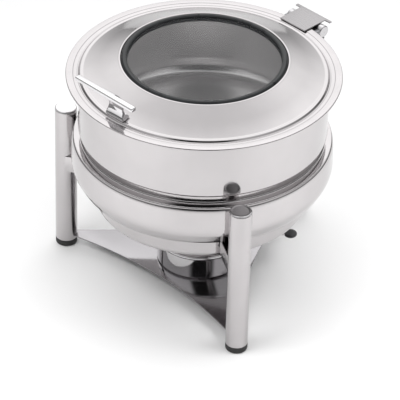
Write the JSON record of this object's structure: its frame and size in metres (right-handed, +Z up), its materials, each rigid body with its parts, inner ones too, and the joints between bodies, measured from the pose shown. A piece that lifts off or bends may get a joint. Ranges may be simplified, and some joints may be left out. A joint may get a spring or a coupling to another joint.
{
  "type": "roll top chafer",
  "caption": "Round buffet chafer with a hinged domed lid and glass window, food pan, body ring, water pan, tube legs with a base plate, and a fuel burner with a damper.",
  "frame": {"origin": "middle of the outline at the bottom of the rubber feet", "axes": "+Z up along the vessel's axis, +Y towards the lid's hinge, -Y towards the lid's handle, +X to the right seen from the handle"},
  "size_m": [0.393, 0.4258, 0.3913],
  "materials": {
    "polished_steel": "mirror polished stainless steel",
    "satin_steel": "satin stainless steel",
    "chrome": "bright chrome",
    "dark_steel": "dark grey coated steel",
    "black_rubber": "matte black rubber",
    "black_plastic": "matte black heat-resistant plastic",
    "tinted_glass": "lightly grey toughened glass"
  },
  "bodies": {
    "stand": {"base_plate": "polished_steel", "leg_tube_rear": "polished_steel", "leg_cap_rear": "chrome", "rubber_foot_rear": "black_rubber", "pan_bracket_rear": "polished_steel", "leg_tube_left": "polished_steel", "leg_cap_left": "chrome", "rubber_foot_left": "black_rubber", "pan_bracket_left": "polished_steel", "leg_tube_right": "polished_steel", "leg_cap_right": "chrome", "rubber_foot_right": "black_rubber", "pan_bracket_right": "polished_steel"},
    "burner": {"burner_cup": "chrome", "burner_cover": "satin_steel", "damper_pivot_pin": "satin_steel"},
    "damper": {"damper_plate": "satin_steel", "damper_lever": "chrome", "lever_knob": "black_plastic"},
    "water_pan": {"water_pan": "polished_steel"},
    "upper_body": {"body_ring": "satin_steel", "food_pan": "satin_steel", "hinge_bracket": "dark_steel", "hinge_barrel_left": "satin_steel", "hinge_barrel_right": "satin_steel", "hinge_pin": "chrome", "bracket_screw_left": "satin_steel", "bracket_screw_right": "satin_steel"},
    "lid": {"lid_shell": "satin_steel", "window_gasket": "black_rubber", "lid_glass": "tinted_glass", "handle_bar": "chrome", "handle_neck": "chrome", "handle_screw_left": "satin_steel", "handle_screw_right": "satin_steel", "hinge_leaf": "satin_steel", "leaf_screw_left": "satin_steel", "leaf_screw_right": "satin_steel"}
  },
  "joints": [
    {"name": "water_pan_lift", "type": "slide", "parent": "stand", "child": "water_pan", "axis": [0, 0, 1], "range_m": [0, 0.12]},
    {"name": "upper_body_lift", "type": "slide", "parent": "water_pan", "child": "upper_body", "axis": [0, 0, 1], "range_m": [0, 0.15]},
    {"name": "lid_hinge", "type": "hinge", "parent": "upper_body", "child": "lid", "pos_m": [0, 0.19737, 0.3292], "axis": [-1, 0, 0], "range_deg": [0, 85]},
    {"name": "burner_slide", "type": "slide", "parent": "stand", "child": "burner", "axis": [0, -1, 0], "range_m": [0, 0.16]},
    {"name": "damper_swivel", "type": "hinge", "parent": "burner", "child": "damper", "pos_m": [0.0341, 0.02144, 0.0598], "axis": [0, 0, 1], "range_deg": [0, 75]}
  ]
}
